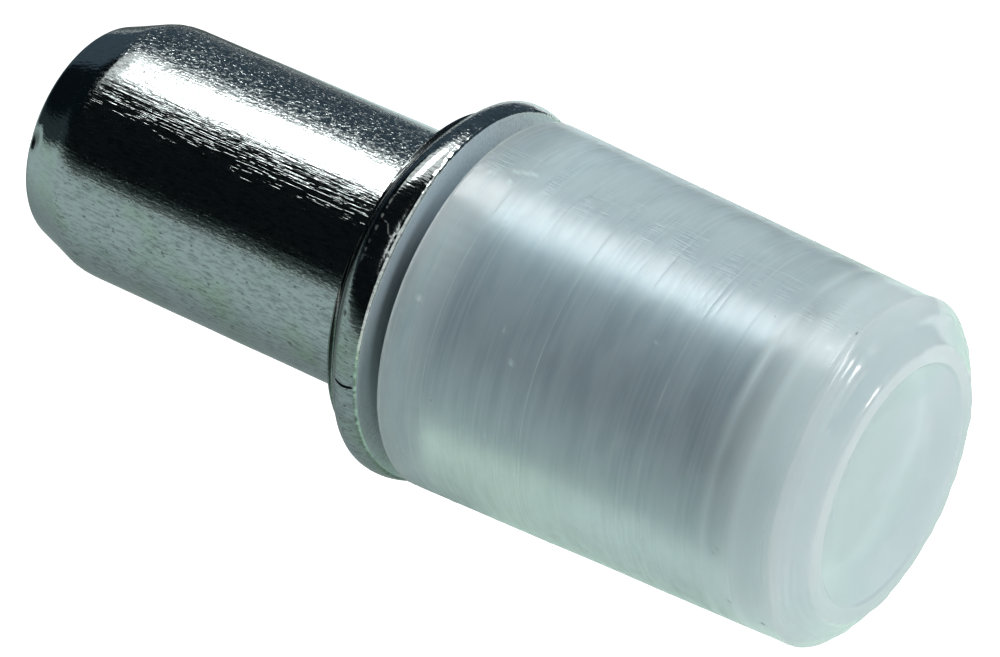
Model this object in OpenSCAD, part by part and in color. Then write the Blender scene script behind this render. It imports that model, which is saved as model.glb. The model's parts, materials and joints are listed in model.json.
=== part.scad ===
// Shelf support pin: a cold-headed steel pin whose stud carries a moulded plastic sleeve.
// The plug goes into a drilled panel, the collar seats on the panel's face, and the shelf
// rests on the sleeve. +X runs along the pin from the panel to the sleeve's closed end,
// +Z is up, and the origin is the centre of the collar's seating face. Millimetres.

/* [Plug] */
// Diameter of the plug, for a standard 5 mm panel hole
plug_d = 5.0; // [4.6:0.1:5.4]
// Length of the plug from its end to the collar's seating face
plug_length = 7.8; // [6:0.1:12]
// Length of the lead-in bevel at the plug's end
plug_bevel_length = 1.0; // [0.4:0.1:2]
// Diameter of the flat face at the plug's end
plug_end_d = 4.2; // [3.6:0.1:4.4]
// Radius that softens the edge of the plug's end face
plug_end_round = 0.15; // [0.05:0.05:0.3]
// Radius where the bevel runs into the plug's wall
plug_bevel_round = 0.8; // [0.1:0.1:1.5]

/* [Collar] */
// Diameter of the collar
collar_d = 7.2; // [6.6:0.1:8]
// Thickness of the collar
collar_thickness = 0.9; // [0.7:0.05:1.4]
// Round on the collar's panel-side edge
collar_back_round = 0.45; // [0.1:0.05:0.5]
// Round on the collar's sleeve-side edge
collar_front_round = 0.08; // [0.02:0.02:0.14]

/* [Stud] */
// Diameter of the stud inside the sleeve
stud_d = 5.0; // [4:0.1:5.4]
// Distance from the seating face to the stud's end
stud_reach = 8.2; // [6:0.1:8.4]
// Length of the bevel at the stud's end
stud_bevel_length = 0.6; // [0.2:0.1:1]
// Diameter of the flat face at the stud's end
stud_end_d = 4.2; // [3.2:0.1:4.4]

/* [Sleeve] */
// Gap between the collar and the sleeve's mouth
mouth_gap = 0.35; // [0.1:0.05:0.6]
// Outside diameter at the mouth
mouth_d = 7.0; // [6.6:0.1:7.2]
// Outside diameter where the taper meets the end shoulder
shoulder_d = 6.4; // [6.2:0.1:6.6]
// Distance from the seating face to the sleeve's end face
sleeve_reach = 9.7; // [9.6:0.1:11]
// Axial length of the end shoulder
shoulder_length = 0.5; // [0.4:0.05:0.8]
// Diameter of the end face, outside the dish
end_face_d = 5.0; // [4.8:0.1:5.4]
// Diameter of the dish moulded in the end face
dish_d = 4.4; // [3.6:0.1:4.6]
// Depth of the dish at its centre
dish_depth = 0.3; // [0.1:0.05:0.4]
// Axial and radial size of the lead-in at the bore's mouth
bore_lead_in = 0.3; // [0.1:0.05:0.4]

/* [Hidden] */
$fn = 96;

plug_r = plug_d / 2;
collar_r = collar_d / 2;
stud_r = stud_d / 2;
sleeve_mouth_x = collar_thickness + mouth_gap;
shoulder_x = sleeve_reach - shoulder_length;

// Rounds of the sleeve's moulded edges
mouth_round = 0.12;
shoulder_round = 0.35;
end_face_round = 0.3;
dish_rim_round = 0.15;

// Steps in each rounded corner
round_steps = 6;

// Points of a round of radius r in the corner at b, between the neighbouring points a and c
function rounded(a, b, c, r) =
    let (
        u = (a - b) / norm(a - b),
        v = (c - b) / norm(c - b),
        half_angle = acos(u * v) / 2,
        centre = b + (u + v) / norm(u + v) * r / sin(half_angle),
        from = b + u * r / tan(half_angle) - centre,
        to = b + v * r / tan(half_angle) - centre,
        start = atan2(from[1], from[0]),
        turn = atan2(to[1], to[0]) - start,
        sweep = turn > 180 ? turn - 360 : turn < -180 ? turn + 360 : turn
    )
    [for (i = [0 : round_steps])
        let (angle = start + sweep * i / round_steps)
        centre + r * [cos(angle), sin(angle)]];

// Radius of the sphere that cuts the dish, and a point of the dish at radius r
dish_sphere_r = (pow(dish_d / 2, 2) + pow(dish_depth, 2)) / (2 * dish_depth);
function dish_x(r) =
    sleeve_reach - dish_depth + dish_sphere_r - sqrt(pow(dish_sphere_r, 2) - r * r);

// Turns a half outline of [radius, x] points about the X axis
module turned(outline) {
    rotate([0, 90, 0]) rotate_extrude() polygon(outline);
}

// Plug, collar and stud, upset and drawn from one piece of wire
module steel_pin() {
    end_edge = [plug_end_d / 2, -plug_length];
    bevel_edge = [plug_r, plug_bevel_length - plug_length];
    collar_root = [plug_r, 0];
    seat_edge = [collar_r, 0];
    front_edge = [collar_r, collar_thickness];
    stud_root = [stud_r, collar_thickness];
    stud_bevel_edge = [stud_r, stud_reach - stud_bevel_length];
    stud_end_edge = [stud_end_d / 2, stud_reach];
    color("silver") turned(concat(
        [[0, -plug_length]],
        rounded([0, -plug_length], end_edge, bevel_edge, plug_end_round),
        rounded(end_edge, bevel_edge, collar_root, plug_bevel_round),
        [collar_root],
        rounded(collar_root, seat_edge, front_edge, collar_back_round),
        rounded(seat_edge, front_edge, stud_root, collar_front_round),
        [stud_root, stud_bevel_edge, stud_end_edge, [0, stud_reach]]
    ));
}

// Closed sleeve whose bore is filled by the stud, with a dished end face
module clear_sleeve() {
    lead_in_edge = [stud_r + bore_lead_in, sleeve_mouth_x];
    mouth_edge = [mouth_d / 2, sleeve_mouth_x];
    shoulder_edge = [shoulder_d / 2, shoulder_x];
    face_edge = [end_face_d / 2, sleeve_reach];
    dish_edge = [dish_d / 2, sleeve_reach];
    dish_steps = 8;
    dish = [for (i = [1 : dish_steps])
        let (r = dish_d / 2 * (1 - i / dish_steps))
        [r, dish_x(r)]];
    color("gainsboro", 0.8) turned(concat(
        [[0, stud_reach], [stud_end_d / 2, stud_reach]],
        [[stud_r, stud_reach - stud_bevel_length], [stud_r, sleeve_mouth_x + bore_lead_in]],
        [lead_in_edge],
        rounded(lead_in_edge, mouth_edge, shoulder_edge, mouth_round),
        rounded(mouth_edge, shoulder_edge, face_edge, shoulder_round),
        rounded(shoulder_edge, face_edge, dish_edge, end_face_round),
        rounded(face_edge, dish_edge, dish[0], dish_rim_round),
        dish
    ));
}

steel_pin();
clear_sleeve();
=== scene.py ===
"""Shelf support pin: a zinc-plated steel pin with a translucent plastic sleeve.

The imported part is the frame: X runs along the pin from the panel to the sleeve's closed end, Z is up,
and the origin is the centre of the collar's seating face. Both pieces are surfaces of revolution about X.
"""

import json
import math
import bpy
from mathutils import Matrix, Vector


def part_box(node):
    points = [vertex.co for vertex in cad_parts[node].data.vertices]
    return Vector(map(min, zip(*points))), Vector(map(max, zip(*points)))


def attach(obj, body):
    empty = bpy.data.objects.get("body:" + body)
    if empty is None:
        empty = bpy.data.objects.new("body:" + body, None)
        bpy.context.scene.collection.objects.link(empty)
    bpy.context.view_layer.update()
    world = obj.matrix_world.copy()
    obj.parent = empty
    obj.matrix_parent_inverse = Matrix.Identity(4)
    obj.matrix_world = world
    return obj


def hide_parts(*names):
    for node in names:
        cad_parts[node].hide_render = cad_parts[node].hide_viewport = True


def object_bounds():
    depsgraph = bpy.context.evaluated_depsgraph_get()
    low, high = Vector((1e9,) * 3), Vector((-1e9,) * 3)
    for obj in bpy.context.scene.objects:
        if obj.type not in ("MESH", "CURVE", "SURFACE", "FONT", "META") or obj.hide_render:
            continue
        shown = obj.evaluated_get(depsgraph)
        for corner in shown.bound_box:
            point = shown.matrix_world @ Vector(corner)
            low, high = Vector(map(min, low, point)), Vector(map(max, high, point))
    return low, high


bl_info = {
    "name": "Shelf support pin",
    "version": (1, 0, 0),
    "blender": (4, 5, 0),
    "location": "View3D > Sidebar > Shelf pin",
    "description": "Builds a plated steel shelf support pin with a translucent sleeve",
    "category": "Add Mesh",
}

from functools import partial

import bpy
import numpy as np
from bpy.props import FloatProperty, FloatVectorProperty, IntProperty, PointerProperty
from mathutils import Matrix, Vector

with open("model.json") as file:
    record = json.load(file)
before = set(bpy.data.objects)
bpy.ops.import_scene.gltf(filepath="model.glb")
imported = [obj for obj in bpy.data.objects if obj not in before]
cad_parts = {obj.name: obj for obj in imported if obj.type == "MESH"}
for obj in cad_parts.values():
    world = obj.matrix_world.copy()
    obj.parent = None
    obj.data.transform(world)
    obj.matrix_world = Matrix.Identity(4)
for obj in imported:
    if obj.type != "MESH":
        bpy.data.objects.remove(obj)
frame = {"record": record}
CAD_LOW, CAD_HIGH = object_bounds()
PIN_LOW, PIN_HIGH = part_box("steel_pin")
SLEEVE_LOW, SLEEVE_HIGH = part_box("clear_sleeve")
PLUG_MOUNT = next(m for m in frame["record"]["mounts"] if m["name"] == "plug")

MM = 0.001
PLUG_R = PLUG_MOUNT["dims"]["r_mm"] * MM
PLUG_LENGTH = -PIN_LOW.x
BEVEL_LENGTH = round((PLUG_LENGTH - PLUG_MOUNT["dims"]["length_mm"] * MM) / MM, 1) * MM


# ---------------------------------------------------------------- sizes and colours


def length(name, description, default_mm):
    """A length property, its default given in millimetres."""
    return FloatProperty(
        name=name,
        description=description,
        default=default_mm * MM,
        min=0.0,
        unit="LENGTH",
        subtype="DISTANCE",
        precision=5,
    )


def colour(name, description, default_hex):
    """A colour property, its default given as an sRGB hex value."""
    return FloatVectorProperty(
        name=name,
        description=description,
        default=linear(default_hex),
        min=0.0,
        max=1.0,
        size=3,
        subtype="COLOR",
    )


def linear(hex_value):
    """Turns an sRGB hex value such as "c8d2d0" into linear red, green and blue."""
    srgb = [int(hex_value[i : i + 2], 16) / 255 for i in (0, 2, 4)]
    return tuple(c / 12.92 if c <= 0.04045 else ((c + 0.055) / 1.055) ** 2.4 for c in srgb)


class ShelfPinSteel(bpy.types.PropertyGroup):
    """Sizes and colours of the steel pin."""

    end_radius: length("End radius", "Radius of the flat face at the plug's end", 2.1)
    end_round: length("End round", "Round on the edge of the plug's end face", 0.15)
    bevel_round: length("Bevel round", "Round where the bevel meets the plug's wall", 1.3)
    collar_thickness: length("Collar thickness", "Thickness of the collar", 0.9)
    back_round: length("Back round", "Round on the collar's panel-side edge", 0.45)
    front_round: length("Front round", "Round on the collar's sleeve-side edge", 0.055)
    crown: length("Crown radius", "Radius of the low crown across the collar's rim", 0.62)
    end_offset: length("End offset", "How far the plug's end lies off the pin's axis", 0.065)
    stud_bevel: length("Stud bevel", "Length of the bevel at the stud's end", 0.6)
    stud_end_radius: length("Stud end radius", "Radius of the stud's end face", 2.1)
    columns: IntProperty(
        name="Columns", description="Columns of the mesh round the pin", default=436, min=64
    )
    plate: colour("Plate", "Bright zinc plate, seen square on", "c0c9c8")
    # The haze colour paints the greenish reflection of the table, in mottles on the pin's underside.
    haze: colour("Haze", "Greenish mottles in the plate", "a9c3a0")
    # This lighter plate colour also paints light on the collar's face, where the sleeve's lit mouth would
    # brighten it.
    fresh: colour("Fresh plate", "Plate where the sleeve covers it and nothing has rubbed", "dae8f0")
    # This dark colour also serves for the painted shade by the sleeve's mouth, behind the collar and low on
    # the rim.
    pit_and_painted_shade: colour("Pits", "Dark bottoms of pits, and of the crack", "15181a")


class ShelfPinSleeve(bpy.types.PropertyGroup):
    """Sizes and colours of the plastic sleeve."""

    shoulder_radius: length("Shoulder radius", "Radius where the taper meets the shoulder", 3.2)
    shoulder_length: length("Shoulder length", "Axial length of the end shoulder", 0.5)
    crest_radius: length("Crest radius", "Radius of the crest halfway down the shoulder", 2.98)
    crest_back: length("Crest back", "How far the crest lies behind the end face", 0.33)
    face_radius: length("Face radius", "Radius of the end face outside the dish", 2.5)
    skew: length("Skew", "How far the closed end hangs off the pin's axis", 0.06)
    dish_radius: length("Dish radius", "Radius of the dish in the end face", 2.2)
    dish_depth: length("Dish depth", "Depth of the dish at its centre", 0.3)
    lead_in: length("Lead-in", "Axial and radial size of the lead-in at the bore's mouth", 0.15)
    air_gap: length("Air gap", "Air between the sleeve's bore and the stud", 0.015)
    columns: IntProperty(
        name="Columns", description="Columns of the mesh round the sleeve", default=292, min=64
    )
    milk: colour("Milk", "Milky body of the plastic", "dcedf1")
    # Its whiteness is painted light that lifts the shade at the sleeve's mouth.
    mouth_face_and_painted_light: colour("Mouth face", "Chalky white of the cut face at the mouth", "f6fdff")
    speck: colour("Specks", "Dark specks moulded into the skin", "3a4044")


class ShelfPinStage(bpy.types.PropertyGroup):
    """Camera, lamps and floor."""

    azimuth: FloatProperty(
        name="Azimuth",
        description="Camera's turn about Z from looking along +Y",
        default=math.radians(35.74),
        subtype="ANGLE",
    )
    elevation: FloatProperty(
        name="Elevation",
        description="Camera's height above the horizon",
        default=math.radians(38.12),
        subtype="ANGLE",
    )
    distance: length("Distance", "Camera's distance from the point it looks at", 84.2)
    aim_right: FloatProperty(
        name="Aim right",
        description="How far right of the collar's centre the camera looks",
        default=1.159 * MM,
        unit="LENGTH",
        precision=5,
    )
    aim_down: FloatProperty(
        name="Aim down",
        description="How far below the collar's centre the camera looks",
        default=0.874 * MM,
        unit="LENGTH",
        precision=5,
    )
    lens: FloatProperty(
        name="Lens",
        description="Focal length for a sensor 36 mm wide",
        default=168.97,
        min=1.0,
        unit="CAMERA",
    )
    floor: colour("Floor", "Plain pale floor", "f4f5f4")


# ---------------------------------------------------------------- surfaces


def rounded_outline(corners):
    """Points of an outline of straight runs and rounded corners.

    corners are (x, r, round radius, step). In each corner lies the arc that touches both runs, which
    turns by at most 9 degrees a piece. The run that leads to a corner is cut into equal pieces no
    longer than its step.
    """
    points = [np.array(corners[0][:2])]
    for before, corner, after in zip(corners, corners[1:], corners[2:]):
        p, radius, step = np.array(corner[:2]), corner[2], corner[3]
        if not radius:
            points += run(points[-1], p, step)
            continue
        into = (np.array(before[:2]) - p) / np.linalg.norm(np.array(before[:2]) - p)
        out = (np.array(after[:2]) - p) / np.linalg.norm(np.array(after[:2]) - p)
        half = math.acos(np.clip(into @ out, -1, 1)) / 2
        reach = radius / math.tan(half)
        centre = p + (into + out) / np.linalg.norm(into + out) * radius / math.sin(half)
        start, end = p + into * reach, p + out * reach
        points += run(points[-1], start, step)
        first = math.atan2(*(start - centre)[::-1])
        turn = wrapped(math.atan2(*(end - centre)[::-1]) - first)
        pieces = max(3, math.ceil(abs(turn) / math.radians(9)))
        angles = first + turn * np.arange(1, pieces + 1) / pieces
        points += list(centre + radius * np.stack([np.cos(angles), np.sin(angles)], 1))
    points += run(points[-1], np.array(corners[-1][:2]), corners[-1][3])
    return np.array(points)


def run(start, end, step):
    """Points from start, left out, to end along a straight line, no further apart than step."""
    pieces = max(1, math.ceil(np.linalg.norm(end - start) / step))
    return list(start + (end - start) * np.arange(1, pieces + 1)[:, None] / pieces)


def wrapped(angle):
    """An angle brought to within half a turn of zero."""
    return (angle + math.pi) % math.tau - math.pi


def crowded_angles(count, crowds):
    """Angles round the axis, closer together near some places.

    The spacing goes as 1 / (1 + the sum of extra * exp(-((t - centre) / width)^2)) over the crowds
    (centre, width, extra), with angles in degrees.
    """
    t = np.linspace(0, math.tau, 20001)
    density = 1 + sum(
        extra * np.exp(-((wrapped(t - math.radians(centre)) / math.radians(width)) ** 2))
        for centre, width, extra in crowds
    )
    passed = np.concatenate([[0], np.cumsum((density[1:] + density[:-1]) / 2)])
    return np.interp(np.arange(count) * passed[-1] / count, passed, t)


def revolved(name, outline, angles, swell, drift, marks, second=None):
    """A closed surface of revolution about X, with unevenness and marks.

    The point at outline place (x, r) and angle t is (x, -r sin t, r cos t), with t from straight up
    towards -Y. swell(x, r, t) returns what is added to x and r, and drift(x, r) the y and z that a whole
    ring is moved by. The outline starts and ends on the axis, and each end becomes one point. marks are
    named functions of (x, r, t) from 0 to 1, each kept as an attribute of the points. second(x, r)
    says which faces take the second material, from the middle of each.
    """
    x, r = (outline[1:-1, i][:, None] for i in (0, 1))
    t = angles[None, :]
    dx, dr = swell(x, r, t)
    y, z = drift(x, r)
    grid = np.stack([x + dx + 0 * t, y - (r + dr) * np.sin(t), z + (r + dr) * np.cos(t)], -1)
    ends = outline[[0, -1]]
    poles = np.stack([ends[:, 0], *drift(ends[:, 0], ends[:, 1])], -1)
    rows, columns = len(outline) - 2, len(angles)
    here = np.arange(columns)
    there = (here + 1) % columns
    rings = np.arange(rows - 1)[:, None] * columns
    quads = np.stack(
        [rings + here, rings + there, rings + columns + there, rings + columns + here], -1
    ).reshape(-1, 4)
    last = (rows - 1) * columns
    start_pole, end_pole = rows * columns, rows * columns + 1
    start_fan = np.stack([np.full(columns, start_pole), there, here], 1)
    end_fan = np.stack([np.full(columns, end_pole), last + here, last + there], 1)
    mesh = bpy.data.meshes.new(name)
    mesh.from_pydata(
        np.vstack([grid.reshape(-1, 3), poles]),
        [],
        quads.tolist() + start_fan.tolist() + end_fan.tolist(),
    )
    mesh.shade_smooth()
    for mark, strength in marks.items():
        values = np.clip(strength(x, r, t) + 0 * (x + t), 0, 1).astype(np.float32).ravel()
        attribute = mesh.attributes.new(mark, "FLOAT", "POINT")
        attribute.data.foreach_set("value", np.concatenate([values, np.zeros(2, np.float32)]))
    if second:
        centres = np.empty(len(mesh.polygons) * 3)
        mesh.polygons.foreach_get("center", centres)
        cx, cy, cz = centres.reshape(-1, 3).T
        mesh.polygons.foreach_set("material_index", second(cx, np.hypot(cy, cz)).astype(np.int32))
    mesh.validate()
    piece = bpy.data.objects.new(name, mesh)
    bpy.context.scene.collection.objects.link(piece)
    return piece


def waves(t, seed, counts, height):
    """A closed wavy line round the axis: the sum of cosines of whole counts with seeded phases."""
    rng = np.random.default_rng(seed)
    phases = rng.uniform(0, math.tau, len(counts))
    weights = rng.uniform(0.5, 1.0, len(counts))
    total = sum(w * np.cos(n * t + p) for n, w, p in zip(counts, weights, phases))
    return height * total / weights.sum()


def ripples(x, t, seed, height):
    """Low waves over a surface: twelve cosines of x and t, seeded, 1.4 to 5 mm long along x and with 1
    to 9 round the axis."""
    rng = np.random.default_rng(seed)
    along = math.tau / (rng.uniform(1.4, 5.0, 12) * MM) * rng.choice([-1, 1], 12)
    around = rng.integers(1, 10, 12)
    phases = rng.uniform(0, math.tau, 12)
    return height * sum(np.cos(k * x + n * t + p) for k, n, p in zip(along, around, phases)) / 5


def bell(value, centre, width):
    """A smooth bell of height 1, centred on centre, that is about width across."""
    return np.exp(-(((value - centre) / (0.5 * width)) ** 2))


def rise(value, start, end):
    """A smooth step from 0 at start to 1 at end: 3 s^2 - 2 s^3 of the share of the way."""
    s = np.clip((value - start) / (end - start), 0, 1)
    return s * s * (3 - 2 * s)


def sector(t, centre, width):
    """A bell over angles in degrees, about width across."""
    return bell(wrapped(t - math.radians(centre)), 0.0, math.radians(width))


def line(x, r, t, path, width):
    """1 along a line on the surface through places (x in mm, angle in degrees), and 0 beside it.

    The distance from each straight piece is measured on the unrolled surface, x against r t.
    """
    nearest = np.full(np.broadcast(x, t).shape, np.inf)
    for (xa, ta), (xb, tb) in zip(path, path[1:]):
        along, round_it = x - xa * MM, r * wrapped(t - math.radians(ta))
        step_x, step_t = (xb - xa) * MM, r * math.radians(tb - ta)
        share = (along * step_x + round_it * step_t) / (step_x**2 + step_t**2 + 1e-18)
        share = np.clip(share, 0, 1)
        nearest = np.minimum(nearest, np.hypot(along - share * step_x, round_it - share * step_t))
    return bell(nearest, 0.0, width * MM)


def spots(x, r, t, places):
    """1 at each place (x in mm, angle in degrees, size in mm), and 0 beside it."""
    return sum(
        np.exp(-((x - px * MM) ** 2 + (r * wrapped(t - math.radians(pt))) ** 2) / (0.5 * size * MM) ** 2)
        for px, pt, size in places
    )


# ---------------------------------------------------------------- materials


# Settings of the nodes that come up often.
TIMES = {"operation": "MULTIPLY"}
TIMES_PLUS = {"operation": "MULTIPLY_ADD"}
LARGER = {"operation": "MAXIMUM"}
PLUS = {"operation": "ADD"}
LESS = {"operation": "SUBTRACT", "use_clamp": True}
SMOOTH = {"interpolation_type": "SMOOTHSTEP"}
COLOURS = {"data_type": "RGBA"}
# In a smooth map range the inputs are the value, from low, from high, to low and to high. In a
# colour mix they are 0, the share, 6, the first colour, and 7, the second; the result is output 2.


def add_node(tree, kind, settings=None, inputs=(), output=0):
    """Adds a node and returns one of its outputs.

    settings are the node's attributes. inputs give its sockets, in order or by name or number, a value
    or the output of another node.
    """
    node = tree.nodes.new("ShaderNode" + kind)
    for name, value in (settings or {}).items():
        setattr(node, name, value)
    for socket, value in inputs.items() if isinstance(inputs, dict) else enumerate(inputs):
        if isinstance(value, bpy.types.NodeSocket):
            tree.links.new(value, node.inputs[socket])
        else:
            node.inputs[socket].default_value = value
    return node.outputs[output] if node.outputs else None


def new_material(name):
    """An empty node material, and add_node for its tree."""
    material = bpy.data.materials.new(name)
    material.use_nodes = True
    material.node_tree.nodes.clear()
    return material, partial(add_node, material.node_tree)


def bright_zinc_plate(steel):
    """Bright zinc electroplate over cold-headed drawn wire: a hard, cool mirror, broken into short
    grains and long streaks by the wire's drawn skin, with small dark pits and a greenish haze."""
    material, node = new_material("bright_zinc_plate_on_drawn_wire")
    place = node("TexCoord", output="Object")
    x = node("SeparateXYZ", {}, (place,))
    dark, matt, fresh, stain = (
        node("Attribute", {"attribute_name": mark}, (), "Fac") for mark in ("dark", "matt", "fresh", "stain")
    )
    # Each pattern has its cells per millimetre along the pin and round it, its detail and roughness.
    made = {}
    for name, along, across, detail, roughness in (
        ("grain", 9.5, 20, 2.0, 0.55),  # 0.1 mm long and 0.05 mm wide
        ("streak", 0.42, 21, 2.0, 0.5),  # 2.4 mm by 0.05 mm
        ("crystal", 13, 17, 1.0, 0.5),  # 0.08 mm by 0.06 mm
        ("scratch", 1.5, 42, 2.0, 0.6),  # 0.7 mm by 0.024 mm
        ("pits", 6.5, 15, 1.0, 0.5),  # 0.15 mm by 0.07 mm
        ("dull", 4.2, 16, 4.0, 0.7),  # 0.24 mm by 0.06 mm
        ("painted_reflection_mottle", 0.9, 0.9, 3.0, 0.6),  # 1.1 mm across
        ("matt", 9, 16, 1.0, 0.5),  # 0.11 mm by 0.06 mm
    ):
        at = node("Mapping", {}, {"Vector": place, "Scale": (along / MM, across / MM, across / MM)})
        inputs = {"Vector": at, "Scale": 1.0, "Detail": detail, "Roughness": roughness}
        made[name] = node("TexNoise", {}, inputs)
    # How far a spot faces the side that lay uppermost in the plating bath, where crystals crowd.
    radial = node("VectorMath", TIMES, (place, (0, 1, 1)))
    outward = node("VectorMath", {"operation": "NORMALIZE"}, (radial,))
    facing = node("VectorMath", {"operation": "DOT_PRODUCT"}, (outward, (0, 0.174, 0.985)), "Value")
    # They stop at the bevel and thin out on the collar.
    on_wall = node("MapRange", SMOOTH, (x, -7.0 * MM, -6.7 * MM, 0.05, 1.0))
    off_collar = node("MapRange", SMOOTH, (x, -0.15 * MM, 0.0, 1.0, 0.3))
    crowd = node("MapRange", SMOOTH, (facing, 0.925, 0.978, 0.12, 1.0))
    crowd = node("Math", TIMES, (crowd, node("Math", TIMES, (on_wall, off_collar))))
    # The die has drawn its scratches below that side, along the plug's wall only.
    drawn = node("MapRange", SMOOTH, (facing, 0.5, 0.76))
    drawn = node("Math", TIMES, (drawn, node("MapRange", SMOOTH, (facing, 0.82, 0.90, 1.0, 0.0))))
    drawn = node("Math", TIMES, (drawn, node("MapRange", SMOOTH, (x, -0.2 * MM, -0.1 * MM, 1.0, 0.0))))
    drawn = node("Math", TIMES, (drawn, on_wall))
    # The relief: crystals and grains where they crowd, streaks, scratches, and faint grain all over.
    crystal = node("MapRange", SMOOTH, (made["crystal"], 0.54, 0.70))
    height = node("Math", TIMES, (node("Math", TIMES_PLUS, (made["grain"], 0.6, crystal)), crowd))
    streaky = node("MapRange", SMOOTH, (facing, 0.1, 0.6, 0.2, 0.55))
    height = node("Math", TIMES_PLUS, (made["streak"], streaky, height))
    scratch = node("MapRange", SMOOTH, (made["scratch"], 0.52, 0.73))
    height = node("Math", TIMES_PLUS, (node("Math", TIMES, (scratch, drawn)), 0.35, height))
    height = node("Math", TIMES_PLUS, (made["grain"], 0.25, height))
    relief = node("Bump", {}, {"Strength": 1.0, "Distance": 0.0065 * MM, "Height": height})
    # Dark pits off the crowded side, and dull specks all over.
    pits = node("MapRange", SMOOTH, (made["pits"], 0.66, 0.74, 0.0, 0.7))
    pits = node("Math", TIMES, (pits, node("Math", LESS, (on_wall, crowd))))
    dull = node("MapRange", SMOOTH, (made["dull"], 0.42, 0.70, 0.0, 0.46))
    dull = node("Math", TIMES, (dull, node("Math", TIMES_PLUS, (on_wall, 0.7, 0.3))))
    dark = node("Math", LARGER, (node("Math", LARGER, (pits, dull)), dark))
    # Greenish mottles on the underside: a painted reflection of the grey-green table below.
    painted_reflection_mottle = node("MapRange", SMOOTH, (made["painted_reflection_mottle"], 0.42, 0.75, 0.0, 0.5))
    green = node("Math", TIMES, (painted_reflection_mottle, node("MapRange", SMOOTH, (facing, 0.1, 0.6, 1.0, 0.0))))
    # Over the plate go greenish mottles, a painted reflection of the table on the underside; pits and the
    # crack; the lighter, bluer plate on the collar's face and the stud, which also paints light in the gap;
    # and painted shade.
    base = (*steel.plate, 1.0)
    for share, tone in ((green, steel.haze), (dark, steel.pit_and_painted_shade), (fresh, steel.fresh), (stain, steel.pit_and_painted_shade)):
        base = node("Mix", COLOURS, {0: share, 6: base, 7: (*tone, 1.0)}, 2)
    # Matt marks, and matt grains where crystals crowd, over a roughness of 0.09.
    rough = node("Math", TIMES, (node("MapRange", SMOOTH, (made["matt"], 0.5, 0.62, 0.0, 0.22)), crowd))
    rough = node("Math", PLUS, (node("Math", TIMES_PLUS, (matt, 0.5, rough)), 0.09))
    inputs = {"Base Color": base, "Metallic": 1.0, "Roughness": rough, "Normal": relief}
    node("OutputMaterial", {}, (node("BsdfPrincipled", {}, inputs),))
    return material


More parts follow.
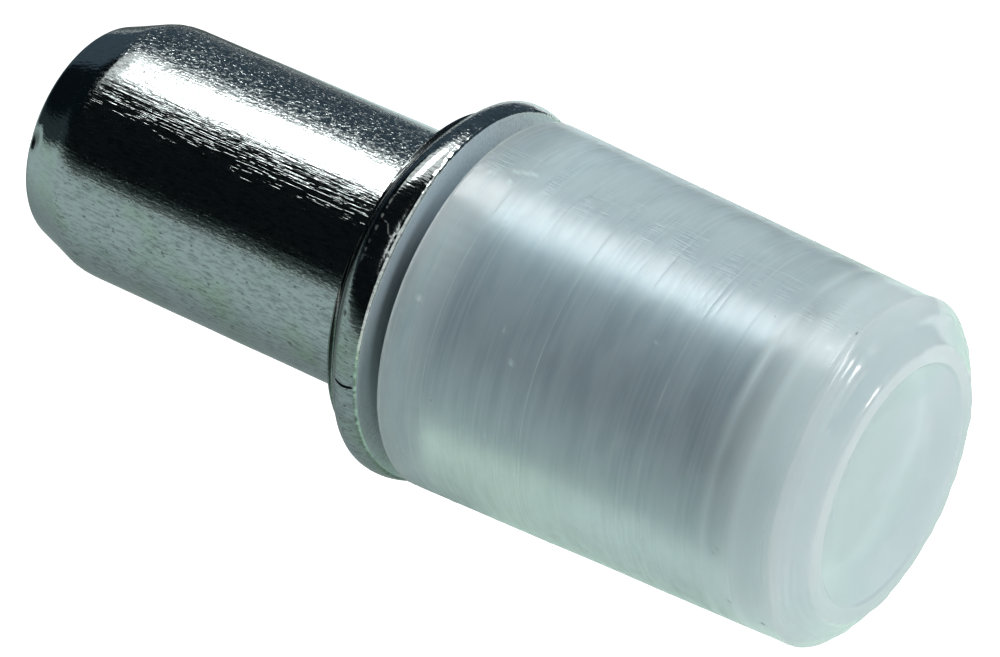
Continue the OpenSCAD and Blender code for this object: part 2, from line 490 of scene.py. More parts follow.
def translucent_polyethylene(sleeve):
    """Natural injection-moulded polyethylene: milky and see-through at a few millimetres, with a
    satin skin that carries fine rings round it and rubbed lines along it."""
    material, node = new_material("natural_moulded_polyethylene")
    place = node("TexCoord", output="Object")
    x, y, z = (node("SeparateXYZ", {}, (place,), axis) for axis in "XYZ")
    # These marks hold rubbed whitening and specks, and also painted highlights and glints.
    chalk, dark = (node("Attribute", {"attribute_name": mark}, (), "Fac") for mark in ("chalk", "dark"))
    # Each pattern has its cells per millimetre along the sleeve and round it, its detail and roughness.
    made = {}
    for name, along, across, detail, roughness in (
        ("ring", 16, 0.26, 3.0, 0.6),  # 0.06 mm apart and 4 mm long
        ("patch", 2.6, 0.7, 2.0, 0.5),  # 0.4 mm by 1.4 mm
        ("rubbed", 2.1, 24, 2.0, 0.5),  # 0.5 mm long and 0.04 mm wide
    ):
        at = node("Mapping", {}, {"Vector": place, "Scale": (along / MM, across / MM, across / MM)})
        inputs = {"Vector": at, "Scale": 1.0, "Detail": detail, "Roughness": roughness}
        made[name] = node("TexNoise", {}, inputs)
    # Rubbed lines lie in patches in a strip along the top, and both they and the rings stop at the
    # shoulder.
    on_wall = node("MapRange", SMOOTH, (x, 8.8 * MM, 9.2 * MM, 1.0, 0.05))
    aside = node("Math", {"operation": "ABSOLUTE"}, (node("Math", PLUS, (y, 0.12 * MM)),))
    strip = node("MapRange", SMOOTH, (aside, 0.3 * MM, 0.55 * MM, 1.0, 0.0))
    strip = node("Math", TIMES, (strip, node("MapRange", SMOOTH, (z, 0.0, 1 * MM))))
    strip = node("Math", TIMES, (strip, on_wall))
    strip = node("Math", TIMES, (strip, node("MapRange", SMOOTH, (made["patch"], 0.4, 0.6))))
    rings = node("MapRange", SMOOTH, (made["patch"], 0.35, 0.65, 0.25, 0.75))
    rings = node("Math", TIMES, (rings, on_wall))
    height = node("Math", TIMES, (made["rubbed"], strip))
    height = node("Math", TIMES_PLUS, (made["ring"], rings, height))
    relief = node("Bump", {}, {"Strength": 1.0, "Distance": 0.01 * MM, "Height": height})
    # Rubbing turns the skin a little chalky along the same rings and lines.
    scuffs = node("Math", TIMES, (node("MapRange", SMOOTH, (made["ring"], 0.45, 0.70, 0.0, 0.13)), rings))
    lines = node("Math", TIMES, (node("MapRange", SMOOTH, (made["rubbed"], 0.48, 0.66, 0.0, 0.14)), strip))
    covered = node("Math", LARGER, (chalk, dark))
    covered = node("Math", LARGER, (covered, node("Math", LARGER, (scuffs, lines))))
    # Clear over the stud, milkier where the end is solid, and opaque white at the mouth's face, whitened
    # further as painted light that lifts the shade there.
    at_mouth = node("MapRange", SMOOTH, (x, 1.2 * MM, 1.4 * MM))
    clear = node("MapRange", SMOOTH, (x, 7.9 * MM, 8.6 * MM, 0.65, 0.22))
    clear = node("Math", TIMES, (clear, at_mouth))
    clear = node("Math", TIMES, (clear, node("MapRange", SMOOTH, (made["patch"], 0.35, 0.65, 0.98, 1.08))))
    clear = node("Math", TIMES, (clear, node("Math", LESS, (1.0, covered))))
    base = node("Mix", COLOURS, {0: at_mouth, 6: (*sleeve.mouth_face_and_painted_light, 1.0), 7: (*sleeve.milk, 1.0)}, 2)
    base = node("Mix", COLOURS, {0: dark, 6: base, 7: (*sleeve.speck, 1.0)}, 2)
    # Satin, and glossier on the shoulder and beside the mouth.
    satin = node("MapRange", SMOOTH, (x, 8.85 * MM, 8.98 * MM, 0.26, 0.14))
    satin = node("Math", TIMES, (satin, node("MapRange", SMOOTH, (x, 1.5 * MM, 2.4 * MM, 0.75, 1.0))))
    inputs = {
        "Base Color": base,
        "Roughness": satin,
        "IOR": 1.51,
        "Transmission Weight": clear,
        "Subsurface Weight": 1.0,
        "Subsurface Radius": (1.0, 1.0, 1.0),
        "Subsurface Scale": 1.2 * MM,
        "Normal": relief,
    }
    node("OutputMaterial", {}, (node("BsdfPrincipled", {}, inputs),))
    return material


def polished_bore():
    """The same polyethylene where it was moulded against a polished core pin: clear and glossy."""
    material, node = new_material("polyethylene_moulded_on_polished_core")
    chalk = node("Attribute", {"attribute_name": "chalk"}, (), "Fac")
    inputs = {
        "Base Color": (1, 1, 1, 1),
        "Roughness": 0.12,
        "IOR": 1.51,
        # Opaque white where the marks paint glints of the stud's end and light at the lead-in.
        "Transmission Weight": node("Math", LESS, (1.0, chalk)),
    }
    node("OutputMaterial", {}, (node("BsdfPrincipled", {}, inputs),))
    return material


# ---------------------------------------------------------------- pieces


# Marks on the pieces: places as (x in mm, angle in degrees from straight up towards -Y).
# A crease in the plug's wall, and a fine line where the wall meets the bevel.
CREASE = (
    (-4.13, 24.7), (-4.0, 29.0), (-3.82, 31.5), (-3.69, 36.4), (-3.3, 39.5), (-2.97, 42.8), (-2.9, 43.2),
)
BEVEL_LINE = ((-6.58, 27.9), (-6.66, 42.0), (-6.75, 59.2))
# On the collar's rim: a scratch, a row of dots, a rubbed line at the back, a dark spot and the crack.
RIM_SCRATCH = ((0.87, 41.0), (0.7, 39.8), (0.62, 37.4), (0.52, 36.8))
RIM_DOTS = ((0.87, 48.2), (0.47, 47.8))
RIM_BACK = ((0.44, 29.0), (0.46, 40.0), (0.44, 51.0))
RIM_SPOT = (0.45, 65.0)
CRACK = ((0.38, 86.2), (0.5, 86.7), (0.62, 86.9), (0.74, 86.6), (0.85, 86.1))
# Fine raised rings round the sleeve: (x in mm, height in thousandths of a millimetre).
RINGS = (
    (1.72, 4), (2.19, 6), (3.12, 3), (3.4, 4), (4.12, 3), (4.24, 7), (5.5, 4), (6.35, 3),
    (6.46, 4), (6.58, 7), (6.72, 4), (7.35, 5), (7.7, 3), (9.01, 9), (9.06, 12), (9.11, 9),
)
# Rings that rubbing has whitened: (x in mm, strength).
WHITE_RINGS = (
    (1.72, 0.15), (2.19, 0.25), (4.24, 0.3), (6.58, 0.3), (6.72, 0.15), (5.5, 0.1), (7.35, 0.1),
)
# A short scuff near the mouth.
SCUFF = ((1.95, 5.6), (2.32, 3.0))
# Spots in the sleeve's skin: (x in mm, angle in degrees, size in mm).
WHITE_SPOTS = (
    (1.71, 52.8, 0.09), (3.78, 59.0, 0.07), (8.78, 15.3, 0.1), (6.1, 36.4, 0.05),
    (2.03, 9.7, 0.06), (3.43, 51.0, 0.04),
)
DARK_SPOTS = (
    (1.77, -2.3, 0.06), (7.64, 13.3, 0.06), (1.43, 58.0, 0.06), (2.4, 80.0, 0.08), (1.7, 104.0, 0.09),
    (4.25, 105.0, 0.05), (5.6, 100.0, 0.05), (5.4, 119.0, 0.09), (6.83, 108.0, 0.07), (7.3, 114.7, 0.07),
    (8.97, 116.6, 0.08), (8.24, 88.3, 0.05), (9.02, 6.4, 0.05), (8.36, 110.7, 0.07), (8.17, 90.0, 0.05),
)


class SHELFPIN_OT_steel_pin(bpy.types.Operator):
    """Builds the steel pin: plug, collar and the stud inside the sleeve"""

    bl_idname = "shelfpin.steel_pin"
    bl_label = "Steel pin"
    bl_options = {"REGISTER", "UNDO"}

    def execute(self, context):
        steel = context.scene.shelf_pin_steel
        collar_r, stud_end = PIN_HIGH.z - 0.006 * MM, PIN_HIGH.x
        bevel_x, rim_x = BEVEL_LENGTH - PLUG_LENGTH, steel.collar_thickness
        collar_face_r = 3.56 * MM  # where the collar's sleeve-side face ends
        corners = [
            (-PLUG_LENGTH, 0.0, 0.0, 1.0),
            (-PLUG_LENGTH, steel.end_radius, steel.end_round, 0.35 * MM),
            (bevel_x, PLUG_R, steel.bevel_round, 0.06 * MM),
            (-4.4 * MM, PLUG_R, 0.0, 0.11 * MM),
            (-2.7 * MM, PLUG_R, 0.0, 0.05 * MM),
            (0.0, PLUG_R, 0.03 * MM, 0.11 * MM),
            (0.0, collar_r, steel.back_round, 0.1 * MM),
            (rim_x, collar_r, steel.front_round, 0.02 * MM),
            (rim_x, PLUG_R, 0.03 * MM, 0.12 * MM),
            (stud_end - steel.stud_bevel, PLUG_R, 0.3 * MM, 0.4 * MM),
            (stud_end, steel.stud_end_radius, 0.05 * MM, 0.12 * MM),
            (stud_end, 0.0, 0.0, 0.5 * MM),
        ]
        # Columns crowd on the side with the marks, most of all at the crack.
        crowds = [(46, 62, 1.3), (86.4, 2.2, 5.0), (18, 14, 0.6), (61, 8, 0.5)]
        past_rim = rim_x - 0.01 * MM

        def ragged(t, seed, counts=(47, 61, 83, 107, 139, 173)):
            """A line round the axis that comes and goes: a step of waves."""
            return rise(waves(t, seed, counts, 1.0), -0.35, 0.45)

        def crack(x, r, t):
            """The hairline crack, which fades out towards both edges of the rim."""
            ends = rise(x, 0.36 * MM, 0.5 * MM) * rise(-x, -0.88 * MM, -0.76 * MM)
            return line(x, r, t, CRACK, 0.028) * ends

        def nick(x, r, t):
            """A nick in the edge of the plug's end."""
            return sector(t, 61.5, 11) * bell(x, 0.15 * MM - PLUG_LENGTH, 0.2 * MM)

        def on_rim(x, r):
            """1 on the collar's rim."""
            return rise(r, 3.2 * MM, 3.45 * MM) * (x < 1 * MM) * (x > -1 * MM)

        def swell(x, r, t):
            """Along x, the bevel's wandering edge. Along r, ripples, raised creases, the nick, and on the
            rim a worn lip, a low crown whose top wanders, (x - top)^2 / (2 crown), crack and spot."""
            wander = 0.04 * np.cos(t - 0.8) - 0.06 + waves(t, 3, (2, 3, 5, 8), 0.03)
            bevel = rise(-x, -bevel_x - 0.5 * MM, -bevel_x) * rise(r, 1.9 * MM, 2.3 * MM)
            bevel = bevel * rise(x, -PLUG_LENGTH, 0.3 * MM - PLUG_LENGTH) * bell(x, bevel_x, 0.9 * MM)
            plug = rise(r, 0.5 * MM, 1.5 * MM)
            raised = 0.7 * line(x, PLUG_R, t, CREASE, 0.07) * (0.3 + 0.7 * ragged(t, 17))
            raised = raised + 0.5 * line(x, PLUG_R, t, BEVEL_LINE, 0.07)
            dr = ripples(x, t, 5, 0.0022 * MM) * plug + (x < 0) * plug * raised * 0.006 * MM
            dr = dr - 0.045 * MM * nick(x, r, t)
            rim = on_rim(x, r)
            wave = 0.12 * np.cos(4 * (t + math.radians(6))) * (0.55 + 0.45 * np.cos(t - 0.3))
            top = (0.63 + wave) * MM
            lip = bell(x, 0.865 * MM, 0.055 * MM) * (0.35 + 0.65 * ragged(t, 7))
            lip = (0.004 + 0.016 * sector(t, 12, 62)) * MM * lip
            sunk = 0.055 * crack(x, r, t) + 0.02 * spots(x, r, t, [(*RIM_SPOT, 0.08)])
            dr = dr + rim * (lip - (x - top) ** 2 / (2 * steel.crown) - sunk * MM)
            return bevel * wander * MM, dr

        def drift(x, r):
            """The plug's end lies below the axis."""
            return -steel.end_offset * rise(-x, -bevel_x, PLUG_LENGTH), 0 * x

        def dark(x, r, t):
            """The crack, the spot, a dark ragged line low along the rim's front edge, and the nick."""
            edge = sector(t, 95, 42) * bell(x, 0.87 * MM, 0.05 * MM) * ragged(t, 11)
            rim = 1.3 * crack(x, r, t) + spots(x, r, t, [(*RIM_SPOT, 0.09)]) + 0.8 * edge
            return rim * on_rim(x, r) + 0.7 * nick(x, r, t)

        def matt(x, r, t):
            """Scratches and rubbed lines on the rim, the creases, the edge of the seat and the stud."""
            dots = ragged(t, 15) * (0.5 + 0.5 * np.cos(x * math.tau / (0.061 * MM)))
            rim = 0.7 * line(x, r, t, RIM_SCRATCH, 0.03) + 0.8 * line(x, r, t, RIM_DOTS, 0.03) * dots
            rim = rim + 0.9 * line(x, r, t, RIM_BACK, 0.035) * ragged(t, 13)
            creases = line(x, r, t, CREASE, 0.04) * ragged(t, 17)
            creases = creases + line(x, r, t, BEVEL_LINE, 0.05) * ragged(t, 19)
            face = bell(x, rim_x, 0.02 * MM) * (r > PLUG_R) * (r < collar_face_r)
            return on_rim(x, r) * rim + 0.3 * creases + face + 0.86 * (x > rim_x + 0.05 * MM)

        def fresh(x, r, t):
            """The collar's sleeve-side face and the stud, where nothing has rubbed. The lighter plate there
            also paints light in the gap by the sleeve's mouth, and its fall-off low down and at the top is
            painted shade.
            """
            share = 0.85 - 0.5 * sector(t, 118, 60) - 0.4 * sector(t, -25, 60)
            return share * (x > past_rim) * (r < collar_face_r)

        def stain(x, r, t):
            """Painted shade: darker in the gap by the sleeve's mouth, in the corner behind the collar and
            low on the rim.
            """
            front = (x > past_rim) * rise(-r, -3.26 * MM, -3.1 * MM) * sector(t, 58, 76)
            back = (x > -0.02 * MM) * (r > 2.55 * MM) * rise(-x, -0.42 * MM, -0.33 * MM)
            low = on_rim(x, r) * sector(t, 86, 70)
            return 0.55 * front + 0.8 * back * sector(t, 40, 130) + 0.2 * low

        pin = revolved(
            "steel_pin_plated",
            rounded_outline(corners),
            crowded_angles(steel.columns, crowds),
            swell,
            drift,
            {"dark": dark, "matt": matt, "fresh": fresh, "stain": stain},
        )
        pin.data.materials.append(bright_zinc_plate(steel))
        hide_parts("steel_pin")
        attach(pin, "root")
        return {"FINISHED"}


class SHELFPIN_OT_clear_sleeve(bpy.types.Operator):
    """Builds the translucent sleeve over the stud"""

    bl_idname = "shelfpin.clear_sleeve"
    bl_label = "Clear sleeve"
    bl_options = {"REGISTER", "UNDO"}

    def execute(self, context):
        sleeve = context.scene.shelf_pin_sleeve
        mouth_x, end_x, mouth_r = SLEEVE_LOW.x, SLEEVE_HIGH.x, SLEEVE_HIGH.z
        bore_r = PLUG_R + sleeve.air_gap
        bore_end = PIN_HIGH.x + 0.2 * MM
        shoulder_x = end_x - sleeve.shoulder_length
        taper = (mouth_r - sleeve.shoulder_radius) / (shoulder_x - mouth_x)
        crest_x, crest_r = end_x - sleeve.crest_back, sleeve.crest_radius
        corners = [
            (bore_end, 0.0, 0.0, 1.0),
            (bore_end, bore_r, 0.3 * MM, 0.6 * MM),
            (mouth_x + sleeve.lead_in, bore_r, 0.05 * MM, 0.7 * MM),
            (mouth_x, bore_r + sleeve.lead_in, 0.03 * MM, 0.15 * MM),
            (mouth_x, mouth_r, 0.12 * MM, 0.12 * MM),
            (shoulder_x - 0.3 * MM, sleeve.shoulder_radius + 0.3 * MM * taper, 0.0, 0.075 * MM),
            (shoulder_x, sleeve.shoulder_radius, 0.1 * MM, 0.02 * MM),
            (crest_x, crest_r, 0.25 * MM, 0.02 * MM),
            (end_x - 0.01 * MM, sleeve.face_radius, 0.16 * MM, 0.02 * MM),
            (end_x, sleeve.dish_radius + 0.06 * MM, 0.03 * MM, 0.03 * MM),
            (end_x - 0.05 * MM, sleeve.dish_radius, 0.04 * MM, 0.03 * MM),
            (end_x - 0.75 * sleeve.dish_depth, 0.7 * sleeve.dish_radius, 1.5 * MM, 0.12 * MM),
            (end_x - sleeve.dish_depth, 0.0, 0.0, 0.2 * MM),
        ]
        outline = rounded_outline(corners)
        # The taper's straight run is cut afresh, with five more points across each ring.
        wall = np.flatnonzero((outline[:, 1] > 3.0 * MM) & (outline[:, 0] < shoulder_x))
        first, last = wall[0] + 12, wall[-1]
        across_ring = np.linspace(-0.03, 0.03, 5) * MM
        extra = np.concatenate([across_ring + x * MM for x, _ in RINGS])
        places = np.sort(np.concatenate([outline[first:last, 0], extra]))
        taper_run = np.stack([places, mouth_r - (places - mouth_x) * taper], 1)
        outline = np.vstack([outline[:first], taper_run, outline[last:]])

        def outside(x, r):
            """True on the outer skin, and False in the bore."""
            return (r > 2.9 * MM) | (x > bore_end + 0.2 * MM)

        def swell(x, r, t):
            """Ripples, rings, a wavy mouth, a fuller shoulder and, square to it, its beads and folds."""
            skin = outside(x, r)
            dr = skin * rise(r, 0.6 * MM, 2.0 * MM) * ripples(x, t, 21, 0.003 * MM)
            wall_part = skin * (r > 3.1 * MM) * (x < shoulder_x + 0.02 * MM)
            for ring_x, height in RINGS:
                come_and_go = 0.5 + waves(t, int(ring_x * 100), (1, 2, 3, 5, 9), 0.5)
                ring = bell(x, ring_x * MM, 0.035 * MM) * height * 0.001 * MM
                dr = dr + wall_part * ring * come_and_go
            mouth = bell(x, mouth_x + 0.12 * MM, 0.16 * MM) * rise(r, 3.3 * MM, 3.4 * MM)
            dr = dr + mouth * waves(t, 23, (5, 9, 14, 23, 37, 51), 0.012 * MM)
            full = bell(x, shoulder_x + 0.03 * MM, 0.34 * MM) * rise(r, 2.6 * MM, 3.0 * MM)
            dr = dr + skin * full * 0.03 * MM * sector(t, -25, 75)
            edge = skin * bell(x, shoulder_x, 0.3 * MM) * rise(r, 2.9 * MM, 3.1 * MM)
            shift = -0.12 * sector(t, -8, 56) + 0.04 * sector(t, 105, 60)
            dx = edge * (shift + waves(t, 29, (3, 5, 8, 13, 21), 0.02)) * MM
            bead = 0.03 * bell(x, crest_x, 0.11 * MM) + 0.014 * bell(x, crest_x - 0.09 * MM, 0.05 * MM)
            bead = bead + 0.03 * bell(x, end_x - 0.04 * MM, 0.08 * MM) * bell(r, 2.55 * MM, 0.14 * MM)
            bead = bead * (0.6 + waves(t, 37, (3, 7, 16, 29, 43), 0.9))
            down = np.hypot(x - shoulder_x, r - sleeve.shoulder_radius) * (x > shoulder_x - 0.2 * MM)
            folds = np.sin(down * math.tau / (0.15 * MM) + waves(t, 31, (4, 7, 11), 1.4))
            folds = 0.0055 * sector(t, 112, 62) * folds * rise(down, 0, 0.1 * MM)
            lean = skin * (x > shoulder_x - 0.1 * MM) * (r > 2.3 * MM) * (bead + folds) * MM
            return dx + 0.7 * lean, dr + 0.7 * lean

        def drift(x, r):
            """The skin hangs off the axis, down and towards -Y, more and more towards the end."""
            hang = sleeve.skew * outside(x, r) * (x - mouth_x) / (end_x - mouth_x)
            return -0.537 * hang, -0.843 * hang

        def chalk(x, r, t):
            """Whitened rings, a scuff and spots; a ragged painted highlight at the mouth, and two white
            bands over the stud's end that paint its glints seen through the skin; inside, white rings that
            paint the glints of the stud's end, and a white lead-in that paints light at the mouth."""
            skin = 0.45 * line(x, r, t, SCUFF, 0.08) + spots(x, r, t, WHITE_SPOTS)
            for ring_x, strength in WHITE_RINGS:
                come_and_go = 0.45 + waves(t, int(ring_x * 70), (2, 3, 5, 11, 17, 31), 0.8)
                skin = skin + strength * bell(x, ring_x * MM, 0.02 * MM) * come_and_go
            # Painted highlights: a ragged white patch near the mouth, round 30 degrees where the softbox
            # falls, and two white bands over the stud's end, strongest round 27 degrees.
            painted_mouth_highlight_edge = 2.4 * MM + waves(t, 41, (5, 8, 13, 21, 34, 89), 0.2 * MM)
            painted_mouth_highlight = rise(painted_mouth_highlight_edge - x, -0.1 * MM, 0.9 * MM) * sector(t, 30, 30)
            painted_stud_end_glints = bell(x, 7.93 * MM, 0.17 * MM) + 0.8 * bell(x, 8.5 * MM, 0.17 * MM)
            skin = skin + 0.45 * painted_mouth_highlight + painted_stud_end_glints * (0.3 + 0.5 * sector(t, 27, 24))
            # Painted reflections inside: white rings on the bore at the stud's end and at the bore's end,
            # and a white lead-in that paints light at the mouth.
            inside = 0.8 * bell(x, 7.72 * MM, 0.12 * MM) + 0.9 * bell(x, bore_end - 0.04 * MM, 0.12 * MM)
            inside = inside + 0.8 * rise(mouth_x + 0.3 * MM - x, 0, 0.15 * MM)
            return np.where(outside(x, r), (r > 3.1 * MM) * skin, (r > 2.2 * MM) * inside)

        def dark(x, r, t):
            """Dark specks in the skin."""
            return outside(x, r) * (r > 3.1 * MM) * spots(x, r, t, DARK_SPOTS)

        cover = revolved(
            "clear_sleeve_moulded",
            outline,
            crowded_angles(sleeve.columns, [(46, 62, 0.7)]),
            swell,
            drift,
            {"chalk": chalk, "dark": dark},
            second=lambda x, r: (r < bore_r + 0.01 * MM) & (x < bore_end + 0.001 * MM),
        )
        cover.data.materials.append(translucent_polyethylene(sleeve))
        cover.data.materials.append(polished_bore())
        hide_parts("clear_sleeve")
        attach(cover, "root")
        return {"FINISHED"}


# ---------------------------------------------------------------- stage


def flat_card(name, centre, across, up, size):
    """A flat rectangle: centre + a across + b up, for a and b from -size/2 to size/2."""
    across, up = Vector(across).normalized(), Vector(up).normalized()
    corners = [
        Vector(centre) + across * size[0] * a / 2 + up * size[1] * b / 2
        for a, b in ((-1, -1), (1, -1), (1, 1), (-1, 1))
    ]
    mesh = bpy.data.meshes.new(name)
    mesh.from_pydata(corners, [], [(0, 1, 2, 3)])
    card = bpy.data.objects.new(name, mesh)
    bpy.context.scene.collection.objects.link(card)
    return card


class SHELFPIN_OT_stage(bpy.types.Operator):
    """Builds the floor, cards, lamps, world and camera"""

    bl_idname = "shelfpin.stage"
    bl_label = "Stage"
    bl_options = {"REGISTER", "UNDO"}

    def execute(self, context):
        stage = context.scene.shelf_pin_stage
        pale_floor(stage)
        dark_cards()
        table_card()
        lamps()
        white_world(context.scene)
        camera(context.scene, stage)
        context.scene.view_settings.view_transform = "Standard"
        return {"FINISHED"}


def seen_directly(node):
    """1 for camera, glossy and transmission rays, and 0 for the rays that light the object."""
    camera, glossy, through = (
        node("LightPath", output=ray) for ray in ("Is Camera Ray", "Is Glossy Ray", "Is Transmission Ray")
    )
    either = node("Math", PLUS, (camera, glossy))
    return node("Math", {"operation": "ADD", "use_clamp": True}, (either, through))


def pale_floor(stage):
    """The floor, 16 mm below the held pin, with a faint glow where it is seen, not where it lights."""
    floor = flat_card("floor", (0, 0, CAD_LOW.z - 16 * MM), (1, 0, 0), (0, 1, 0), (4, 4))
    material, node = new_material("pale_matt_board")
    inputs = {
        "Base Color": (*stage.floor, 1.0),
        "Roughness": 0.9,
        "Specular IOR Level": 0.0,
        "Emission Color": (1, 1, 1, 1),
        "Emission Strength": node("Math", TIMES, (seen_directly(node), 0.45)),
    }
    node("OutputMaterial", {}, (node("BsdfPrincipled", {}, inputs),))
    floor.data.materials.append(material)


def dark_cards():
    """Dark cards round the object that only its gloss shows, so that bright metal has dark to mirror.

    Rays that come through the plastic find a pale wall behind instead, and a blue haze in front.
    """
    right, away, up = (1, 0, 0), (0, 1, 0), (0, 0, 1)
    dark_paper, back_paper, pale_wall, blue_haze = "121619", "42505b", "e7f0f0", "5986a2"
    for name, centre, along, upward, size, paper, haze in (
        ("front_card", (-0.5, -0.6, 0.32), right, up, (1.5, 0.63), dark_paper, blue_haze),
        ("front_top_card", (-0.5, -0.302, 0.759), right, (0, 0.4, 0.16), (1.5, 0.65), dark_paper, blue_haze),
        ("left_card", (-1.2, 0, 0.15), away, up, (1.4, 0.3), "2e383d", blue_haze),
        ("left_top_card", (-1.2, 0, 0.65), away, up, (1.4, 0.7), "0d1418", blue_haze),
        ("back_card", (0, 0.34, 0.39), right, (0, 0.51, 0.81), (2.4, 0.96), back_paper, pale_wall),
        ("back_floor_card", (0, 0.48, -0.0185), right, away, (2.4, 0.8), back_paper, pale_wall),
    ):
        card = flat_card(name, centre, along, upward, size)
        material, node = new_material(name + "_paper")
        tone = (*linear(paper), 1.0)
        if name == "front_card":
            # Painted light: its foot glows lighter, as if the table lit it.
            height = node("SeparateXYZ", {}, (node("TexCoord", output="Object"),), "Z")
            foot = node("MapRange", SMOOTH, (height, 0.0, 0.16, 1.0, 0.0))
            tone = node("Mix", COLOURS, {0: foot, 6: tone, 7: (*linear("616e6c"), 1.0)}, 2)
        through = node("LightPath", output="Is Transmission Ray")
        seen = node("Mix", COLOURS, {0: through, 6: tone, 7: (*linear(haze), 1.0)}, 2)
        node("OutputMaterial", {}, (node("Emission", {}, (seen,)),))
        card.data.materials.append(material)
        card.visible_camera = False
        if not name.startswith("front"):
            card.visible_diffuse = False
            card.visible_shadow = False


def table_card():
    """A grey-green glowing card just under the pin that only its gloss shows, with the pin's own soft shade
    painted into its glow.

    Under the plug its tone is 1 - 0.47 exp(-((y + 1.2) / 3.4)^2), with y in millimetres. That changes
    behind it, from y = 3 to 11, by -0.8 past the plug's end to 0.7 beside it, and falls to 0.8 of
    itself far in front. Under the sleeve it is 1.7. Near the collar the card turns greener.
    """
    card = flat_card("table_card", (-0.988, -0.9575, -0.0037), (1, 0, 0), (0, 1, 0), (2, 1.957))
    material, node = new_material("table_card_paper")
    place = node("TexCoord", output="Object")
    x, y = (node("SeparateXYZ", {}, (place,), axis) for axis in "XY")
    off = node("Math", TIMES_PLUS, (y, 1 / (3.4 * MM), 1.2 / 3.4))
    shade = node("Math", {"operation": "POWER"}, (math.exp(-1), node("Math", TIMES, (off, off))))
    far = node("MapRange", SMOOTH, (x, -13 * MM, -9 * MM, -0.8, 0.7))
    behind = node("Math", TIMES_PLUS, (node("MapRange", SMOOTH, (y, 3 * MM, 11 * MM)), far, 1.0))
    gloss_tone = node("Math", TIMES_PLUS, (shade, -0.47, behind))
    in_front = node("MapRange", SMOOTH, (y, -70 * MM, -25 * MM, 0.8, 1.0))
    gloss_tone = node("Math", TIMES, (gloss_tone, in_front))
    under_sleeve = node("MapRange", SMOOTH, (x, 1.4 * MM, 3.0 * MM))
    lift = node("Math", {"operation": "SUBTRACT"}, (1.7, gloss_tone))
    gloss_tone = node("Math", TIMES_PLUS, (under_sleeve, lift, gloss_tone))
    # Painted light: for rays through the plastic the glow is brighter and unshaded, as if the plastic let
    # light down onto the table, and greener right beneath it.
    near = node("MapRange", SMOOTH, (y, -15 * MM, 0.0, 1.5, 1.75))
    lit_tone = node("Math", PLUS, (near, node("MapRange", SMOOTH, (y, 4 * MM, 10 * MM, 0.0, 0.8))))
    beneath = node("MapRange", SMOOTH, (y, -10 * MM, -3 * MM))
    beneath = node("Math", TIMES, (beneath, node("MapRange", SMOOTH, (y, 2 * MM, 5 * MM, 1.0, 0.0))))
    beneath = node("Math", TIMES, (beneath, node("MapRange", SMOOTH, (x, 2 * MM, 5 * MM, 1.0, 0.35))))
    lit_colour = {0: beneath, 6: (*linear("bcc8cb"), 1.0), 7: (*linear("bccbb8"), 1.0)}
    lit_colour = node("Mix", COLOURS, lit_colour, 2)
    green = node("MapRange", SMOOTH, (x, -1 * MM, 2 * MM))
    gloss_colour = {0: green, 6: (*linear("b3c4c4"), 1.0), 7: (*linear("a6c0b1"), 1.0)}
    gloss_colour = node("Mix", COLOURS, gloss_colour, 2)
    through = node("LightPath", output="Is Transmission Ray")
    change = node("Math", {"operation": "SUBTRACT"}, (lit_tone, gloss_tone))
    tone = node("Math", TIMES_PLUS, (through, change, gloss_tone))
    seen = node("Mix", COLOURS, {0: through, 6: gloss_colour, 7: lit_colour}, 2)
    node("OutputMaterial", {}, (node("Emission", {}, (seen, tone)),))
    card.data.materials.append(material)
    card.visible_camera = False
    card.visible_diffuse = False
    card.visible_shadow = False


def lamps():
    """A softbox over the plug and the mouth, one over the closed end that only gloss shows, and a
    broad fill beyond the end that gloss doesn't show."""
    across = math.radians(-14.6)
    over_plug = (-0.42, -0.893 * math.sin(across), 0.893 * math.cos(across))
    area_lamp("softbox", over_plug, (0, math.cos(across), math.sin(across)), 0.5, (0.13, 0.158), 0.65)
    glint = area_lamp("end_softbox", (0.5, 0.18, 0.85), (0, 0.97, -0.25), 0.5, (0.14, 0.17), 1.4)
    glint.visible_diffuse = False
    glint.visible_transmission = False
    fill = area_lamp("end_fill", (0.85, -0.48, 0.21), (0, 0, 1), 0.6, (0.5, 0.5), 0.24)
    fill.visible_glossy = False
    fill.visible_transmission = False


def area_lamp(name, direction, along, distance, size, watts):
    """A rectangular lamp that faces the origin from a direction, hidden from the camera.

    size is its width and its length, and the length lies as nearly as it can along the given way.
    """
    data = bpy.data.lights.new(name, "AREA")
    data.shape = "RECTANGLE"
    data.size, data.size_y = size
    data.energy = watts
    lamp = bpy.data.objects.new(name, data)
    bpy.context.scene.collection.objects.link(lamp)
    away = Vector(direction).normalized()
    wide = Vector(along).cross(away).normalized()
    lamp.location = away * distance
    lamp.rotation_mode = "QUATERNION"
    lamp.rotation_quaternion = Matrix((wide, away.cross(wide), away)).transposed().to_quaternion()
    lamp.visible_camera = False
    return lamp


def white_world(scene):
    """White where the camera, gloss or plastic shows it, and a little dimmer as it lights the object."""
    scene.world = bpy.data.worlds.new("white_surround")
    scene.world.use_nodes = True
    scene.world.node_tree.nodes.clear()
    node = partial(add_node, scene.world.node_tree)
    strength = node("MapRange", {}, (seen_directly(node), 0.0, 1.0, 0.92, 1.0))
    node("OutputWorld", {}, (node("Background", {}, ((1, 1, 1, 1), strength)),))


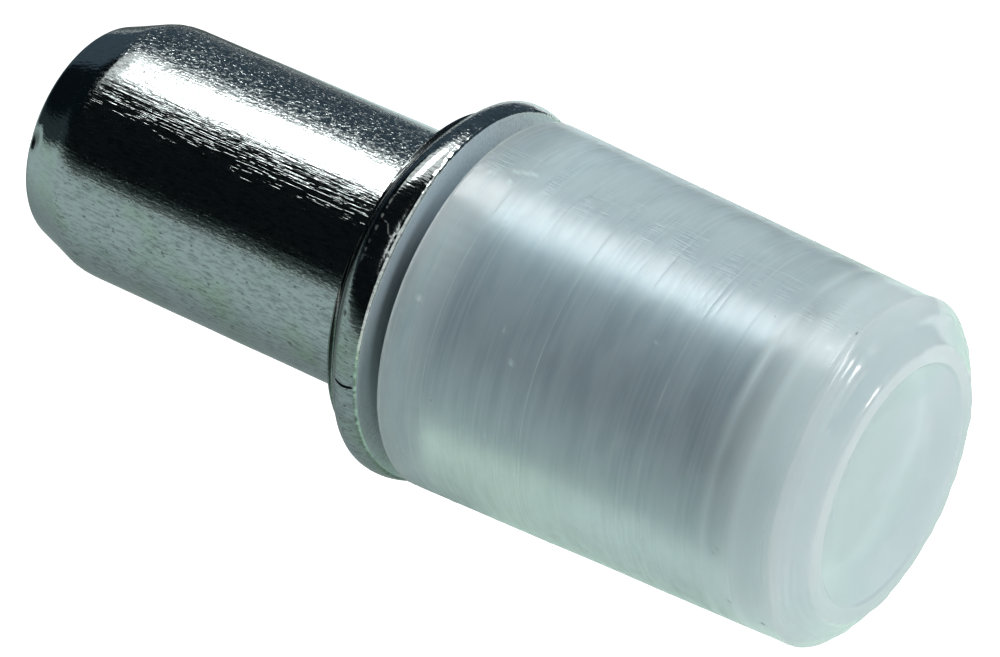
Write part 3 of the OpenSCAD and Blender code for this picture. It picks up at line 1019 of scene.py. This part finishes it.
def camera(scene, stage):
    """The camera, level, looking at a point beside the collar's centre."""
    a, e = stage.azimuth, stage.elevation
    back = Vector((math.sin(a) * math.cos(e), -math.cos(a) * math.cos(e), math.sin(e)))
    right = Vector((math.cos(a), math.sin(a), 0))
    up = back.cross(right)
    data = bpy.data.cameras.new("camera")
    data.sensor_width = 36
    data.lens = stage.lens
    data.clip_start, data.clip_end = 0.005, 10
    cam = bpy.data.objects.new("camera", data)
    scene.collection.objects.link(cam)
    cam.location = right * stage.aim_right - up * stage.aim_down + back * stage.distance
    cam.rotation_mode = "QUATERNION"
    cam.rotation_quaternion = (-back).to_track_quat("-Z", "Y")
    scene.camera = cam


# ---------------------------------------------------------------- add-on


class SHELFPIN_PT_panel(bpy.types.Panel):
    """Lists the pieces and their sizes in the 3D view's sidebar"""

    bl_idname = "SHELFPIN_PT_panel"
    bl_label = "Shelf pin"
    bl_space_type = "VIEW_3D"
    bl_region_type = "UI"
    bl_category = "Shelf pin"

    def draw(self, context):
        for group, operator in (
            ("shelf_pin_steel", SHELFPIN_OT_steel_pin),
            ("shelf_pin_sleeve", SHELFPIN_OT_clear_sleeve),
            ("shelf_pin_stage", SHELFPIN_OT_stage),
        ):
            box = self.layout.box()
            settings = getattr(context.scene, group)
            for name in settings.__annotations__:
                box.prop(settings, name)
            box.operator(operator.bl_idname)


CLASSES = (
    ShelfPinSteel,
    ShelfPinSleeve,
    ShelfPinStage,
    SHELFPIN_OT_steel_pin,
    SHELFPIN_OT_clear_sleeve,
    SHELFPIN_OT_stage,
    SHELFPIN_PT_panel,
)


def register():
    for cls in CLASSES:
        bpy.utils.register_class(cls)
    bpy.types.Scene.shelf_pin_steel = PointerProperty(type=ShelfPinSteel)
    bpy.types.Scene.shelf_pin_sleeve = PointerProperty(type=ShelfPinSleeve)
    bpy.types.Scene.shelf_pin_stage = PointerProperty(type=ShelfPinStage)


def unregister():
    del bpy.types.Scene.shelf_pin_stage
    del bpy.types.Scene.shelf_pin_sleeve
    del bpy.types.Scene.shelf_pin_steel
    for cls in reversed(CLASSES):
        bpy.utils.unregister_class(cls)


def main():
    register()
    bpy.ops.shelfpin.steel_pin()
    bpy.ops.shelfpin.clear_sleeve()
    bpy.ops.shelfpin.stage()


if __name__ == "__main__":
    main()
